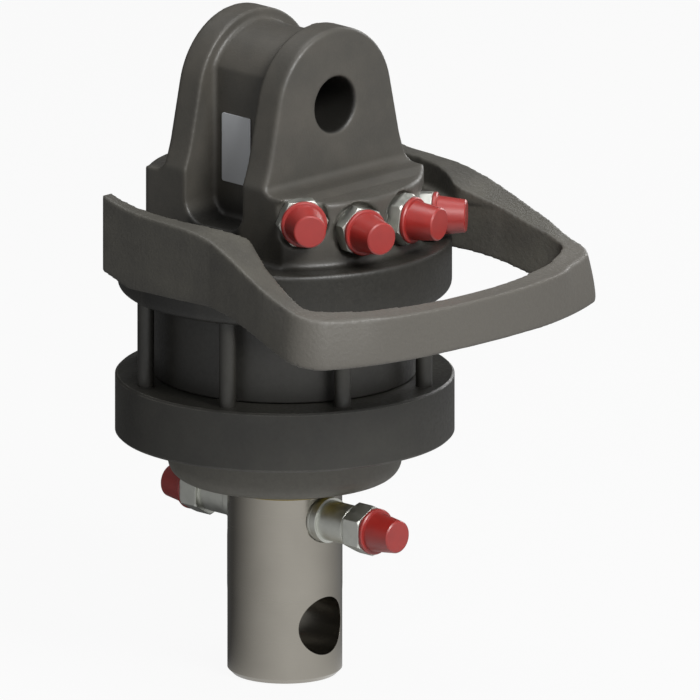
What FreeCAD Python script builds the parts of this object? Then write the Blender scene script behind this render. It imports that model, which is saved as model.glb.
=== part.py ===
import FreeCAD, Part
import math
import os
from FreeCAD import Vector

os.makedirs("parts", exist_ok=True)

# Hydraulic rotator: a vane motor between a crane and a grapple.
# Millimetres, +Z up, shaft axis on Z, foot of the shaft at Z = 0.
# The crane pin lies along Y, and the four hose ports face -Y.

# Shaft, driving sizes
SEAT_R = 34.5
SEAT_BOTTOM_Z = 54.0
SEAT_TOP_Z = 84.0
SEAT_BLEND = 4.0
SHAFT_R = 34.35
CROSS_HOLE_R = 17.75
CROSS_HOLE_Z = 34.0
SHAFT_CHAMFER = 3.0
COLLAR_R = 56.0
COLLAR_T = 12.0
JOURNAL_R = 26.0
JOURNAL_LEN = 78.0
GALLERY_R = 4.0
GALLERY_X = 13.0

# Housing stack, driving sizes
BOSS_BOTTOM_Z = 121.5
BOSS_R = 70.0
BOSS_H = 27.0
BOSS_ROUND = 10.5
PLATE_R = 101.5
PLATE_T = 36.5
RING_R = 77.5
RING_H = 52.0
FLANGE_R = 100.0
FLANGE_T = 32.5
FLANGE_ROUND = 5.5
FLANGE_CHAMFER = 1.2

# Head casting, driving sizes
HEAD_R = 83.0
HEAD_HALF_X = 60.5
HEAD_EDGE_H = 39.0
HEAD_RIDGE_H = 42.8
HEAD_RIDGE_IN_Y = 50.5
HEAD_RIDGE_Y = 57.5
HEAD_DIP_H = 39.9
HEAD_DIP_Y = 65.0
HEAD_SWEEP = 1.0
HEAD_FOOT_ROUND = 3.5
HEAD_CORNER_ROUND = 4.0
HEAD_RIM_ROUND = 2.5
EAR_FOOT_H = 46.0
EAR_HALF_Y = 43.0
EAR_T = 19.0
EAR_TOP_R = 48.3
EAR_TOP_DROP = 1.4
PIN_BORE_R = 16.5
PIN_BORE_H = 88.0
EAR_KNEE_X = 55.0
EAR_KNEE_H = 61.5
WEB_HALF_X = 35.5
WEB_TOP_R = 40.0
GROOVE_FLOOR_H = 15.5
GROOVE_ROUND = 13.0
CAST_ROUND = 2.5

# Vane motor, driving sizes
CAM_MINOR_R = 62.1
CAM_MAJOR_R = 65.6
CAM_MAJOR_HALF = 27.5
CAM_MINOR_START = 38.0
LOBES = 4
VANES = 8
VANE_T = 7.0
VANE_TIP_R = 9.0
VANE_SLOT_FLOOR_R = 42.0
SPRING_T = 1.0
SPRING_BOW = 4.6
KEY_W = 12.0
KEY_H = 8.0
KEY_LEN = 40.0

# Thrust bearing, driving sizes
BEARING_IN_R = 38.5
BEARING_OUT_R = 55.0
WASHER_T = 3.0
ROLLER_R = 3.0
ROLLER_LEN = 12.0
ROLLERS = 20
CAGE_T = 3.0

# Bushes and seals, driving sizes
BUSH_T = 4.0
LOWER_BUSH_LEN = 20.0
UPPER_BUSH_LEN = 16.0
SEAL_R = 42.0
SEAL_H = 7.0
WIPER_R = 41.0
WIPER_H = 5.0
SWIVEL_RING_DEPTH = 3.0
SWIVEL_RING_H = 4.0
SWIVEL_GROOVE_DEPTH = 4.0
SWIVEL_GROOVE_H = 8.0
FACE_SEAL_R = 68.7
FACE_SEAL_W = 2.6
FACE_SEAL_DEPTH = 2.0
DOWEL_R = 2.5
DOWEL_PITCH_R = 73.2
DOWEL_DEPTH = 8.0

# Clamping screws, driving sizes
SCREWS = 8
SCREW_R = 5.0
SCREW_PITCH_R = 89.9
SCREW_HEAD_R = 8.0
SCREW_HEAD_H = 10.0
SCREW_SOCKET_AF = 8.0
SCREW_SOCKET_DEPTH = 5.0
SCREW_GRIP = 25.0
SCREW_FIRST_DEG = 22.5
COUNTERBORE_R = 8.6
COUNTERBORE_H = 11.0

# Hose ports, driving sizes
PORT_DEGS = (-38.4, -13.0, 13.0, 39.0)
PORT_AIMS = (-34.0, -13.0, 13.0, 39.0)
PORT_HEIGHTS = (29.6, 21.2, 21.2, 14.2)
PORT_SEAT_R = 78.5
SPOT_FACE_R = 16.6
THREAD_R = 10.0
THREAD_LEN = 14.0
BONDED_R = 13.4
BONDED_T = 2.0
HEX_AF = 27.0
HEX_T = 8.5
HEX_TURN = 2.0
SPIGOT_R = 9.0
SPIGOT_LEN = 14.0
CAP_RIM_R = 14.0
CAP_RIM_T = 3.0
CAP_BASE_R = 12.3
CAP_TIP_R = 9.8
CAP_LEN = 20.2
CAP_CHAMFER = 0.7
LOWER_PORT_Z = 100.0
LOWER_SEAT_Y = 32.0
LOWER_BODY_R = 12.1
LOWER_COLLAR_R = 13.8
LOWER_COLLAR_LEN = 5.0
LOWER_BODY_LEN = 25.0
LOWER_NECK_LEN = 3.0
LOWER_NECK_R = 11.4
LOWER_NUT_LEN = 13.3

# Hose guard, driving sizes
GUARD_TAIL_Y = 40.0
GUARD_TAIL_X = 114.5
GUARD_WAIST_Y = -50.0
GUARD_WAIST_X = 115.0
GUARD_LOW_Z = 225.0
GUARD_LOW_CORNER = (128.4, -139.6)
GUARD_LOW_FRONT_Y = -172.8
GUARD_LOW_ROUND = 26.0
GUARD_HIGH_Z = 312.0
GUARD_HIGH_CORNER = (124.6, -144.6)
GUARD_HIGH_FRONT_Y = -171.0
GUARD_HIGH_ROUND = 19.0
GUARD_GAP = 3.6
GUARD_HUG_X = 87.0
GUARD_TAIL_T = 8.0
GUARD_TAIL_START_Y = 6.0
GUARD_INNER_X = 100.0
GUARD_INNER_Y = -84.0
GUARD_INNER_CORNER_X = 112.3
GUARD_INNER_CORNER_Y = -130.2
GUARD_INNER_FRONT_Y = -155.8
GUARD_INNER_ROUND = 9.0
GUARD_TOP = ((40.0, 307.6), (16.0, 301.7), (-45.0, 297.1), (-88.0, 281.3), (-130.0, 266.5), (-175.0, 262.8))
GUARD_BOTTOM = ((-45.0, 254.7), (-85.0, 248.9), (-122.0, 238.0), (-175.0, 235.2))
GUARD_HEEL_Y = 18.0
GUARD_HEEL_Z = 253.5
GUARD_TAIL_BOTTOM_Z = 260.6
GUARD_LEDGE_H = 14.0
LUG_T = 11.0
LUG_HALF_Y = 27.0
LUG_IN_X = 76.0
LUG_SCREW_X = 88.0
LUG_SCREW_Y = 13.0
LUG_SCREW_R = 6.0
LUG_SCREW_LEN = 16.0
LUG_HEAD_R = 9.0
LUG_HEAD_H = 6.0

# Type plate, driving sizes
TYPE_PLATE_W = 24.0
TYPE_PLATE_H = 42.0
TYPE_PLATE_T = 0.8
TYPE_PLATE_TOP_H = 79.0
TYPE_PLATE_Y = 5.0

# Clearances
RUN_FIT = 0.03
BORE_FIT = 0.05
AXIAL_GAP = 0.05
SHAFT_CLEAR = 0.5

# Heights that follow from the stack
PLATE_BOTTOM_Z = BOSS_BOTTOM_Z + BOSS_H
PLATE_TOP_Z = PLATE_BOTTOM_Z + PLATE_T
RING_TOP_Z = PLATE_TOP_Z + RING_H
FLANGE_TOP_Z = RING_TOP_Z + FLANGE_T
PIN_BORE_Z = FLANGE_TOP_Z + PIN_BORE_H
COLLAR_TOP_Z = PLATE_TOP_Z - AXIAL_GAP
COLLAR_BOTTOM_Z = COLLAR_TOP_Z - COLLAR_T
UPPER_WASHER_Z = COLLAR_BOTTOM_Z - WASHER_T
ROLLER_SPACE = 2 * ROLLER_R
LOWER_WASHER_Z = UPPER_WASHER_Z - ROLLER_SPACE - WASHER_T
JOURNAL_START_Z = RING_TOP_Z - 2 * AXIAL_GAP
JOURNAL_TOP_Z = JOURNAL_START_Z + JOURNAL_LEN
JOURNAL_BORE_R = JOURNAL_R + RUN_FIT
SHAFT_BORE_R = SHAFT_R + RUN_FIT
ROTOR_R = CAM_MINOR_R - BORE_FIT
ROTOR_Z0 = PLATE_TOP_Z + AXIAL_GAP
ROTOR_Z1 = RING_TOP_Z - AXIAL_GAP
LOWER_BUSH_TOP_Z = LOWER_WASHER_Z - 1.0
LOWER_BUSH_Z = LOWER_BUSH_TOP_Z - LOWER_BUSH_LEN
SEAL_Z = LOWER_BUSH_Z - SEAL_H - 2.5
UPPER_GALLERY_Z = FLANGE_TOP_Z + PORT_HEIGHTS[0]
LOWER_GALLERY_Z = FLANGE_TOP_Z + 7.5
GUARD_LEDGE_Z = FLANGE_TOP_Z + GUARD_LEDGE_H


def disc(radius, z0, z1):
    """A cylinder on the shaft axis from z0 to z1."""
    return Part.makeCylinder(radius, z1 - z0, Vector(0, 0, z0))


def ring(outer, inner, z0, z1):
    """A plain ring on the shaft axis."""
    return disc(outer, z0, z1).cut(disc(inner, z0 - 1, z1 + 1))


def block(x0, x1, y0, y1, z0, z1):
    """A box between two corners."""
    return Part.makeBox(x1 - x0, y1 - y0, z1 - z0, Vector(x0, y0, z0))


def polar(radius, deg, z):
    """A point at a bearing from -Y towards +X."""
    a = math.radians(deg)
    return Vector(radius * math.sin(a), -radius * math.cos(a), z)


def bearing(deg):
    """The outward direction at a bearing from -Y towards +X."""
    return polar(1.0, deg, 0.0)


def around(shape, deg):
    """A copy turned about the shaft axis."""
    copy = shape.copy()
    copy.rotate(Vector(0, 0, 0), Vector(0, 0, 1), deg)
    return copy


def hexagon(across_flats, length, base, direction, turn=0.0):
    """A hexagonal bar that starts at base and runs along direction."""
    corner_r = across_flats / math.sqrt(3.0)
    corners = []
    for i in range(7):
        a = math.radians(60.0 * i + turn)
        corners.append(Vector(corner_r * math.cos(a), corner_r * math.sin(a), 0))
    bar = Part.Face(Part.makePolygon(corners)).extrude(Vector(0, 0, length))
    bar.Placement = FreeCAD.Placement(base, FreeCAD.Rotation(Vector(0, 0, 1), direction))
    return bar


def round_edges(shape, radius, wanted):
    """Fillet the edges that the test accepts."""
    edges = [e for e in shape.Edges if wanted(e)]
    return shape.makeFillet(radius, edges)


def circle_at(edge, radius, z):
    """True for a full circle of that radius and height about the axis."""
    curve = edge.Curve
    if not isinstance(curve, Part.Circle):
        return False
    return abs(curve.Radius - radius) < 0.01 and abs(curve.Center.z - z) < 0.01


def save(name, shape):
    """Write one sub-part, joined where faces split it."""
    clean = shape.removeSplitter()
    clean.exportStep("parts/" + name + ".step")


def one_solid(shape):
    """The single solid of a result, or an error if it fell apart."""
    solids = shape.Solids
    if len(solids) != 1:
        raise ValueError("expected one solid, found %d" % len(solids))
    return solids[0]


# Lower plate with its boss, recess, bush seat and seal grooves
def lower_plate():
    body = disc(PLATE_R, PLATE_BOTTOM_Z, PLATE_TOP_Z).fuse(disc(BOSS_R, BOSS_BOTTOM_Z, PLATE_BOTTOM_Z + 1))
    body = body.removeSplitter()
    body = round_edges(body, BOSS_ROUND, lambda e: circle_at(e, BOSS_R, BOSS_BOTTOM_Z))
    body = body.makeChamfer(1.2, [e for e in body.Edges if circle_at(e, PLATE_R, PLATE_TOP_Z)
                                  or circle_at(e, PLATE_R, PLATE_BOTTOM_Z)])
    cuts = [
        disc(SHAFT_R + SHAFT_CLEAR, BOSS_BOTTOM_Z - 1, PLATE_TOP_Z),
        disc(WIPER_R, BOSS_BOTTOM_Z - 1, BOSS_BOTTOM_Z + WIPER_H),
        disc(SEAL_R, SEAL_Z, SEAL_Z + SEAL_H),
        disc(SHAFT_R + BUSH_T, LOWER_BUSH_Z, LOWER_WASHER_Z + 1),
        disc(COLLAR_R + 2.0, LOWER_WASHER_Z, PLATE_TOP_Z + 1),
        ring(FACE_SEAL_R + FACE_SEAL_W / 2, FACE_SEAL_R - FACE_SEAL_W / 2,
             PLATE_TOP_Z - FACE_SEAL_DEPTH, PLATE_TOP_Z + 1),
    ]
    for i in range(SCREWS):
        centre = polar(SCREW_PITCH_R, SCREW_FIRST_DEG + i * 360.0 / SCREWS, PLATE_BOTTOM_Z - 1)
        cuts.append(Part.makeCylinder(SCREW_R + BORE_FIT, PLATE_T + 2, centre))
        cuts.append(Part.makeCylinder(COUNTERBORE_R, COUNTERBORE_H + 1, centre))
    cuts.extend(dowel_holes(PLATE_TOP_Z - DOWEL_DEPTH, PLATE_TOP_Z + 1))
    return one_solid(body.cut(cuts))


def dowel_holes(z0, z1):
    """The two dowel holes between z0 and z1."""
    return [Part.makeCylinder(DOWEL_R, z1 - z0, polar(DOWEL_PITCH_R, deg, z0)) for deg in (45.0, 225.0)]


# Cam ring: round outside, four long pockets inside
def cam_profile_wire():
    step = 360.0 / LOBES
    edges = []

    def at(radius, deg):
        return polar(radius, deg, PLATE_TOP_Z)

    for i in range(LOBES):
        mid = i * step
        left, right = mid - CAM_MAJOR_HALF, mid + CAM_MAJOR_HALF
        edges.append(Part.Arc(at(CAM_MAJOR_R, left), at(CAM_MAJOR_R, mid), at(CAM_MAJOR_R, right)).toShape())
        land_start, land_end = mid + CAM_MINOR_START, mid + step - CAM_MINOR_START
        edges.append(Part.LineSegment(at(CAM_MAJOR_R, right), at(CAM_MINOR_R, land_start)).toShape())
        land_mid = (land_start + land_end) / 2
        land = Part.Arc(at(CAM_MINOR_R, land_start), at(CAM_MINOR_R, land_mid), at(CAM_MINOR_R, land_end))
        edges.append(land.toShape())
        edges.append(Part.LineSegment(at(CAM_MINOR_R, land_end), at(CAM_MAJOR_R, mid + step - CAM_MAJOR_HALF)).toShape())
    return Part.Wire(edges)


def cam_ring():
    hole = Part.Face(cam_profile_wire()).extrude(Vector(0, 0, RING_H))
    body = disc(RING_R, PLATE_TOP_Z, RING_TOP_Z)
    body = body.makeChamfer(0.8, [e for e in body.Edges if circle_at(e, RING_R, PLATE_TOP_Z)
                                  or circle_at(e, RING_R, RING_TOP_Z)])
    return one_solid(body.cut([hole] + dowel_holes(PLATE_TOP_Z - 1, RING_TOP_Z + 1)))


# Head casting: flange, port block and the two ears with their web
def tangent_point(outside, centre, radius):
    """Where the line from an outside point touches the circle on its +X side, in the XZ plane."""
    dx, dz = outside[0] - centre[0], outside[1] - centre[1]
    reach = math.hypot(dx, dz)
    angle = math.atan2(dz, dx) + math.acos(radius / reach)
    return (centre[0] + radius * math.cos(angle), centre[1] + radius * math.sin(angle))


def ear_prism(half_y):
    """Both ears as one block: a round top with tapering sides and flared feet."""
    z_foot = FLANGE_TOP_Z + EAR_FOOT_H
    z_knee = FLANGE_TOP_Z + EAR_KNEE_H
    z_base = FLANGE_TOP_Z + GROOVE_FLOOR_H
    z_round = PIN_BORE_Z - EAR_TOP_DROP
    tip = tangent_point((EAR_KNEE_X, z_knee), (0.0, z_round), EAR_TOP_R)

    def v(x, z):
        return Vector(x, -half_y, z)

    flare_x = EAR_KNEE_X + 0.46 * (HEAD_HALF_X - EAR_KNEE_X)
    flare_z = z_foot + 0.48 * (z_knee - z_foot)
    edges = [
        Part.LineSegment(v(-HEAD_HALF_X, z_base), v(HEAD_HALF_X, z_base)).toShape(),
        Part.LineSegment(v(HEAD_HALF_X, z_base), v(HEAD_HALF_X, z_foot)).toShape(),
        Part.Arc(v(HEAD_HALF_X, z_foot), v(flare_x, flare_z), v(EAR_KNEE_X, z_knee)).toShape(),
        Part.LineSegment(v(EAR_KNEE_X, z_knee), v(tip[0], tip[1])).toShape(),
        Part.Arc(v(tip[0], tip[1]), v(0, z_round + EAR_TOP_R), v(-tip[0], tip[1])).toShape(),
        Part.LineSegment(v(-tip[0], tip[1]), v(-EAR_KNEE_X, z_knee)).toShape(),
        Part.Arc(v(-EAR_KNEE_X, z_knee), v(-flare_x, flare_z), v(-HEAD_HALF_X, z_foot)).toShape(),
        Part.LineSegment(v(-HEAD_HALF_X, z_foot), v(-HEAD_HALF_X, z_base)).toShape(),
    ]
    prism = Part.Face(Part.Wire(edges)).extrude(Vector(0, 2 * half_y, 0))
    low = z_foot - 0.5

    def on_outline(e):
        box = e.BoundBox
        flat = box.YLength < 0.01 and abs(abs(box.YMin) - half_y) < 0.01
        return flat and box.ZMax > low + 1 and box.ZMin > low
    return round_edges(prism, CAST_ROUND, on_outline)


def groove_cutter():
    """The groove round the web between the ears."""
    half_y = EAR_HALF_Y - EAR_T
    z_floor = FLANGE_TOP_Z + GROOVE_FLOOR_H
    z_over = PIN_BORE_Z + EAR_TOP_R + 10
    cutter = block(-HEAD_R, HEAD_R, -half_y, half_y, z_floor, z_over)

    def floor_edge(e):
        box = e.BoundBox
        return box.XLength > HEAD_R and box.ZMax < z_floor + 0.01
    cutter = round_edges(cutter, GROOVE_ROUND, floor_edge)
    crown_z = PIN_BORE_Z + math.sqrt(WEB_TOP_R ** 2 - WEB_HALF_X ** 2)

    def v(x, z):
        return Vector(x, -half_y - 1, z)
    edges = [
        Part.LineSegment(v(-WEB_HALF_X, z_floor - 2), v(WEB_HALF_X, z_floor - 2)).toShape(),
        Part.LineSegment(v(WEB_HALF_X, z_floor - 2), v(WEB_HALF_X, crown_z)).toShape(),
        Part.Arc(v(WEB_HALF_X, crown_z), v(0, PIN_BORE_Z + WEB_TOP_R), v(-WEB_HALF_X, crown_z)).toShape(),
        Part.LineSegment(v(-WEB_HALF_X, crown_z), v(-WEB_HALF_X, z_floor - 2)).toShape(),
    ]
    web = Part.Face(Part.Wire(edges)).extrude(Vector(0, 2 * half_y + 2, 0))
    return cutter.cut(web)


def port_block():
    """The block that carries the four hose ports: round front and back, flat sides, sloping shoulders."""
    top = FLANGE_TOP_Z + EAR_FOOT_H
    ridge_z = FLANGE_TOP_Z + HEAD_RIDGE_H
    dip_z = FLANGE_TOP_Z + HEAD_DIP_H
    rim_z = FLANGE_TOP_Z + HEAD_EDGE_H
    sweep_y = (HEAD_RIDGE_IN_Y + EAR_HALF_Y) / 2
    sweep_z = (ridge_z + top) / 2 - HEAD_SWEEP
    base_z = FLANGE_TOP_Z - 1

    def v(y, z):
        return Vector(-HEAD_HALF_X, y, z)
    edges = []
    for sign in (-1, 1):
        low, dip = v(sign * (HEAD_R + 1), rim_z), v(sign * HEAD_DIP_Y, dip_z)
        ridge, inner = v(sign * HEAD_RIDGE_Y, ridge_z - 0.3), v(sign * HEAD_RIDGE_IN_Y, ridge_z)
        edges.append(Part.LineSegment(v(sign * (HEAD_R + 1), base_z), low).toShape())
        edges.append(Part.LineSegment(low, dip).toShape())
        edges.append(Part.LineSegment(dip, ridge).toShape())
        edges.append(Part.LineSegment(ridge, inner).toShape())
        edges.append(Part.Arc(inner, v(sign * sweep_y, sweep_z), v(sign * EAR_HALF_Y, top)).toShape())
    edges.append(Part.LineSegment(v(-EAR_HALF_Y, top), v(EAR_HALF_Y, top)).toShape())
    edges.append(Part.LineSegment(v(-HEAD_R - 1, base_z), v(HEAD_R + 1, base_z)).toShape())
    slab = Part.Face(Part.Wire(Part.__sortEdges__(edges))).extrude(Vector(2 * HEAD_HALF_X, 0, 0))
    column = disc(HEAD_R, base_z, top + 5)
    column = column.common(block(-HEAD_HALF_X, HEAD_HALF_X, -HEAD_R, HEAD_R, base_z - 1, top + 6))

    def upright(e):
        box = e.BoundBox
        return box.ZLength > 30 and box.XLength < 0.1 and box.YLength < 0.1

    def rim(e):
        box = e.BoundBox
        past_ears = min(abs(box.YMin), abs(box.YMax)) > HEAD_DIP_Y - 0.01
        return past_ears and box.ZMin > FLANGE_TOP_Z + 30 and (box.YLength > 0.01)
    column = round_edges(column, HEAD_CORNER_ROUND, upright)
    return round_edges(slab.common(column), HEAD_RIM_ROUND, rim)


def head_casting():
    flange = disc(FLANGE_R, RING_TOP_Z, FLANGE_TOP_Z)
    flange = round_edges(flange, FLANGE_ROUND, lambda e: circle_at(e, FLANGE_R, RING_TOP_Z))
    flange = flange.makeChamfer(FLANGE_CHAMFER, [e for e in flange.Edges if circle_at(e, FLANGE_R, FLANGE_TOP_Z)])
    body = flange.fuse([port_block(), ear_prism(EAR_HALF_Y)]).removeSplitter()

    def block_foot(e):
        box = e.BoundBox
        level = abs(box.ZMin - FLANGE_TOP_Z) < 0.01 and box.ZLength < 0.01
        return level and max(box.XMax, box.YMax, -box.XMin, -box.YMin) < HEAD_R + 0.5
    body = round_edges(body, HEAD_FOOT_ROUND, block_foot)
    body = body.cut(groove_cutter())
    y_out = EAR_HALF_Y + 1
    cuts = [
        Part.makeCylinder(PIN_BORE_R, 2 * y_out, Vector(0, -y_out, PIN_BORE_Z), Vector(0, 1, 0)),
        disc(JOURNAL_BORE_R, RING_TOP_Z - 1, JOURNAL_TOP_Z + 2.0),
        disc(JOURNAL_R + BUSH_T, RING_TOP_Z - 1, RING_TOP_Z + UPPER_BUSH_LEN),
        ring(FACE_SEAL_R + FACE_SEAL_W / 2, FACE_SEAL_R - FACE_SEAL_W / 2,
             RING_TOP_Z - 1, RING_TOP_Z + FACE_SEAL_DEPTH),
    ]
    for z in swivel_ring_heights():
        cuts.append(disc(JOURNAL_R + SWIVEL_RING_DEPTH, z, z + SWIVEL_RING_H))
    for z in (UPPER_GALLERY_Z, LOWER_GALLERY_Z):
        cuts.append(disc(JOURNAL_R + SWIVEL_GROOVE_DEPTH, z - SWIVEL_GROOVE_H / 2, z + SWIVEL_GROOVE_H / 2))
    for sign in (-1, 1):
        face = Vector(0, sign * EAR_HALF_Y, PIN_BORE_Z)
        cuts.append(Part.makeCone(PIN_BORE_R, PIN_BORE_R + 1.5, 1.5, face - Vector(0, sign * 1.5, 0),
                                  Vector(0, sign, 0)))
    for seat, out in port_frames():
        cuts.append(Part.makeCylinder(SPOT_FACE_R, 12, seat, out))
        cuts.append(Part.makeCylinder(THREAD_R, THREAD_LEN + 3, seat - out * (THREAD_LEN + 2), out))
    top_out = PORT_SEAT_R - THREAD_LEN
    feed = polar(JOURNAL_R, PORT_DEGS[0], UPPER_GALLERY_Z)
    cuts.append(Part.makeCylinder(GALLERY_R - 1, top_out - JOURNAL_R, feed, bearing(PORT_DEGS[0])))
    start = polar(JOURNAL_R + 1, PORT_DEGS[3], LOWER_GALLERY_Z)
    end = polar(top_out, PORT_DEGS[3], FLANGE_TOP_Z + PORT_HEIGHTS[3])
    cuts.append(Part.makeCylinder(GALLERY_R - 1, (end - start).Length, start, end - start))
    for i in (1, 2):
        foot = polar(CAM_MAJOR_R - 2, PORT_DEGS[i], RING_TOP_Z - 1)
        cuts.append(Part.makeCylinder(GALLERY_R - 1, FLANGE_T + PORT_HEIGHTS[i], foot))
    for i in range(SCREWS):
        foot = polar(SCREW_PITCH_R, SCREW_FIRST_DEG + i * 360.0 / SCREWS, RING_TOP_Z - 1)
        cuts.append(Part.makeCylinder(SCREW_R, SCREW_GRIP + 2, foot))
    for x, y in lug_screw_places():
        depth = LUG_SCREW_LEN - LUG_T + LUG_HEAD_H + 6
        cuts.append(Part.makeCylinder(LUG_SCREW_R, depth, Vector(x, y, FLANGE_TOP_Z - depth + 1)))
    cuts.extend(dowel_holes(RING_TOP_Z - 1, RING_TOP_Z + DOWEL_DEPTH))
    return one_solid(body.cut(cuts))


def swivel_ring_heights():
    """Heights of the swivel rings: one each side of both oil grooves."""
    reach = SWIVEL_GROOVE_H / 2 + 1.5
    middle = (UPPER_GALLERY_Z + LOWER_GALLERY_Z - SWIVEL_RING_H) / 2
    return (LOWER_GALLERY_Z - reach - SWIVEL_RING_H, middle, UPPER_GALLERY_Z + reach)


# Shaft: plain foot, bearing collar, keyed middle and long swivel journal
def shaft():
    outline = [(0, 0), (SHAFT_R - SHAFT_CHAMFER, 0), (SHAFT_R, SHAFT_CHAMFER), (SHAFT_R, SEAT_BOTTOM_Z - SEAT_BLEND),
               (SEAT_R, SEAT_BOTTOM_Z), (SEAT_R, SEAT_TOP_Z), (SHAFT_R, SEAT_TOP_Z + SEAT_BLEND),
               (SHAFT_R, COLLAR_BOTTOM_Z + 1), (0, COLLAR_BOTTOM_Z + 1), (0, 0)]
    half = Part.Face(Part.makePolygon([Vector(r, 0, z) for r, z in outline]))
    foot = half.revolve(Vector(0, 0, 0), Vector(0, 0, 1), 360)
    body = foot.fuse([disc(COLLAR_R, COLLAR_BOTTOM_Z, COLLAR_TOP_Z), disc(SHAFT_R, COLLAR_TOP_Z - 1, JOURNAL_START_Z),
                      disc(JOURNAL_R, JOURNAL_START_Z - 1, JOURNAL_TOP_Z)]).removeSplitter()
    body = body.makeChamfer(1.5, [e for e in body.Edges if circle_at(e, JOURNAL_R, JOURNAL_TOP_Z)])
    reach = SHAFT_R + 1
    cuts = [Part.makeCylinder(CROSS_HOLE_R, 2 * reach, Vector(0, -reach, CROSS_HOLE_Z), Vector(0, 1, 0))]
    for sign, top in ((-1, UPPER_GALLERY_Z), (1, LOWER_GALLERY_Z)):
        y = sign * GALLERY_X
        out = Vector(0, sign, 0)
        cuts.append(Part.makeCylinder(GALLERY_R, top - LOWER_PORT_Z, Vector(0, y, LOWER_PORT_Z)))
        cuts.append(Part.makeCylinder(GALLERY_R - 1, JOURNAL_R - GALLERY_X + 1, Vector(0, y, top - GALLERY_R), out))
        seat = Vector(0, sign * LOWER_SEAT_Y, LOWER_PORT_Z)
        cuts.append(Part.makeCylinder(LOWER_COLLAR_R + 0.5, reach - LOWER_SEAT_Y, seat, out))
        cuts.append(Part.makeCylinder(THREAD_R, THREAD_LEN + 3, seat - out * (THREAD_LEN + 2), out))
    key_mid = (ROTOR_Z0 + ROTOR_Z1) / 2
    for sign in (-1, 1):
        cuts.append(key_blank(sign, key_mid))
    return one_solid(body.cut(cuts))


def key_blank(sign, key_mid):
    """One parallel key, half in the shaft and half in the rotor, at -Y or +Y."""
    y0, y1 = sorted((sign * (SHAFT_R - KEY_H / 2), sign * (SHAFT_R + KEY_H / 2)))
    return block(-KEY_W / 2, KEY_W / 2, y0, y1, key_mid - KEY_LEN / 2, key_mid + KEY_LEN / 2)


def rotor_keys():
    key_mid = (ROTOR_Z0 + ROTOR_Z1) / 2
    return Part.makeCompound([key_blank(sign, key_mid) for sign in (-1, 1)])


def vane_degs():
    """Bearings of the vanes, half a step off the keys and off the cam lands."""
    step = 360.0 / VANES
    return [step / 2 + i * step for i in range(VANES)]


# Rotor with its vane slots and keyways
def rotor():
    body = ring(ROTOR_R, SHAFT_BORE_R, ROTOR_Z0, ROTOR_Z1)
    slot = block(-VANE_T / 2 - BORE_FIT, VANE_T / 2 + BORE_FIT, -ROTOR_R - 1, -VANE_SLOT_FLOOR_R,
                 ROTOR_Z0 - 1, ROTOR_Z1 + 1)
    key_y = SHAFT_R + KEY_H / 2 + BORE_FIT
    keyway = block(-KEY_W / 2 - BORE_FIT, KEY_W / 2 + BORE_FIT, -key_y, key_y, ROTOR_Z0 - 1, ROTOR_Z1 + 1)
    return one_solid(body.cut([around(slot, deg) for deg in vane_degs()] + [keyway]))


def vane(deg):
    """One vane, drawn in flush with the rotor, with a gently rounded tip."""
    tip_r = ROTOR_R - BORE_FIT
    root_r = VANE_SLOT_FLOOR_R + SPRING_BOW
    z0, z1 = ROTOR_Z0 + 2 * AXIAL_GAP, ROTOR_Z1 - 2 * AXIAL_GAP
    body = block(-VANE_T / 2, VANE_T / 2, -tip_r, -root_r, z0, z1)
    nose = Part.makeCylinder(VANE_TIP_R, z1 - z0, Vector(0, -tip_r + VANE_TIP_R, z0))
    tail = block(-VANE_T / 2, VANE_T / 2, -tip_r + VANE_TIP_R, -root_r, z0, z1)
    return around(body.common(nose.fuse(tail)), deg)


def vane_springs():
    """A bowed leaf spring under each vane, its crown against the vane."""
    crown_y = VANE_SLOT_FLOOR_R + SPRING_BOW
    half = KEY_LEN / 2
    mid = (ROTOR_Z0 + ROTOR_Z1) / 2
    inner_bow = SPRING_BOW - SPRING_T

    def v(y, z):
        return Vector(-VANE_T / 2 + 0.5, -y, mid + z)
    edges = [
        Part.Arc(v(VANE_SLOT_FLOOR_R + SPRING_T, -half), v(crown_y, 0), v(VANE_SLOT_FLOOR_R + SPRING_T, half)).toShape(),
        Part.LineSegment(v(VANE_SLOT_FLOOR_R + SPRING_T, half), v(VANE_SLOT_FLOOR_R, half)).toShape(),
        Part.Arc(v(VANE_SLOT_FLOOR_R, half), v(VANE_SLOT_FLOOR_R + inner_bow, 0), v(VANE_SLOT_FLOOR_R, -half)).toShape(),
        Part.LineSegment(v(VANE_SLOT_FLOOR_R, -half), v(VANE_SLOT_FLOOR_R + SPRING_T, -half)).toShape(),
    ]
    leaf = Part.Face(Part.Wire(edges)).extrude(Vector(VANE_T - 1.0, 0, 0))
    return Part.makeCompound([around(leaf, deg) for deg in vane_degs()])


# Thrust bearing between the collar and the lower plate
def thrust_rollers():
    z = LOWER_WASHER_Z + WASHER_T + ROLLER_R
    start = (BEARING_IN_R + BEARING_OUT_R - ROLLER_LEN) / 2
    one = Part.makeCylinder(ROLLER_R - RUN_FIT, ROLLER_LEN, Vector(0, -start, z), Vector(0, -1, 0))
    return Part.makeCompound([around(one, i * 360.0 / ROLLERS) for i in range(ROLLERS)])


def roller_cage():
    z = LOWER_WASHER_Z + WASHER_T + ROLLER_R
    body = ring(BEARING_OUT_R - 0.5, BEARING_IN_R + 0.5, z - CAGE_T / 2, z + CAGE_T / 2)
    start = (BEARING_IN_R + BEARING_OUT_R - ROLLER_LEN) / 2 - BORE_FIT
    half = ROLLER_R
    window = block(-half, half, -start - ROLLER_LEN - 2 * BORE_FIT, -start, z - CAGE_T, z + CAGE_T)
    return one_solid(body.cut([around(window, i * 360.0 / ROLLERS) for i in range(ROLLERS)]))


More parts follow.
